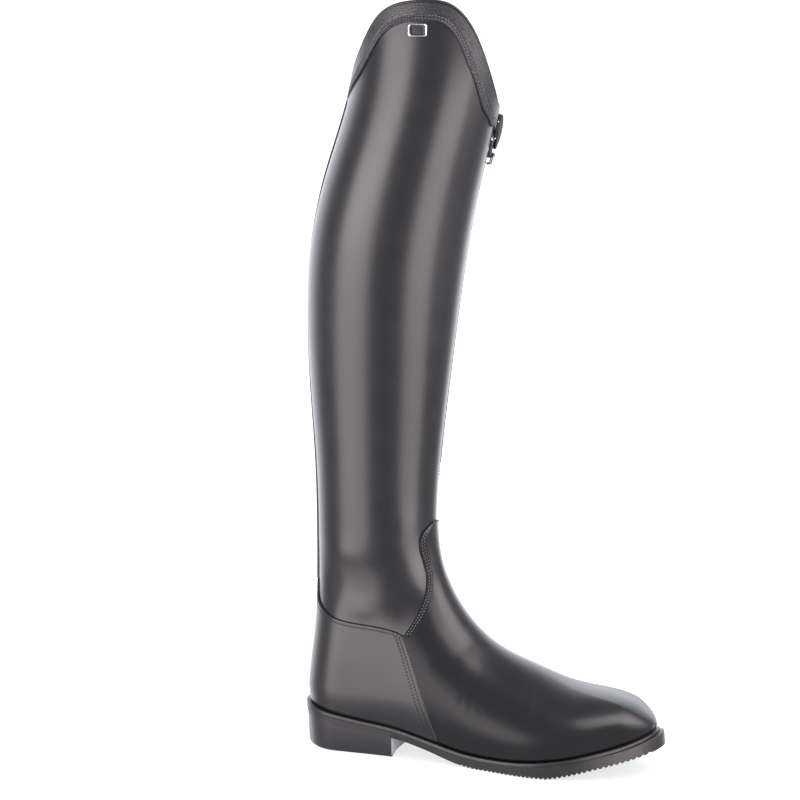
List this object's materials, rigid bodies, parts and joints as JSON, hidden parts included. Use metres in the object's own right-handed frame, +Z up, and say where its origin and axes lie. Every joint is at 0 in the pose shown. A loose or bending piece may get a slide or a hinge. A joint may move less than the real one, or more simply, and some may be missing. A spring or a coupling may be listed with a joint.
{
  "type": "dress riding boot",
  "caption": "Tall black leather dress riding boot, right foot, with a swept collar, side zip, low stacked heel and ridged sole.",
  "frame": {"origin": "centre of the bounding box, on the floor under the sole", "axes": "+Z up, +X towards the toe, +Y towards the inner side of the foot, so -Y is the outer side"},
  "size_m": [0.2632, 0.1062, 0.5395],
  "materials": {
    "shaft_leather": "semi-gloss",
    "vamp_leather": "semi-gloss",
    "counter_leather": "semi-gloss",
    "band_leather": "glossy",
    "binding_leather": "satin",
    "stay_leather": "matte",
    "tab_leather": "satin",
    "insole_lining": "matte",
    "zip_tape": "matte",
    "zip_metal_dark": "black plated",
    "pull_metal": "polished",
    "nickel": "polished",
    "midsole_rubber": "satin",
    "outsole_rubber": "matte",
    "heel_rubber": "satin"
  },
  "bodies": {
    "boot": {"upper": "shaft_leather", "vamp": "vamp_leather", "counter": "counter_leather", "collar_band": "band_leather", "collar_binding": "binding_leather", "back_stay": "stay_leather", "zip_chain": "zip_tape", "zip_slider": "zip_metal_dark", "zip_guard_tab": "tab_leather", "badge_plate": "nickel", "midsole": "midsole_rubber", "outsole": "outsole_rubber", "heel": "heel_rubber", "insole": "insole_lining"},
    "pull": {"zip_pull": "pull_metal"}
  },
  "joints": [
    {"name": "pull_swing", "type": "hinge", "parent": "boot", "child": "pull", "pos_m": [-0.00272, 0.0262, 0.42716], "axis": [0.4839, -0.8751, 0], "range_deg": [0, 140]}
  ]
}
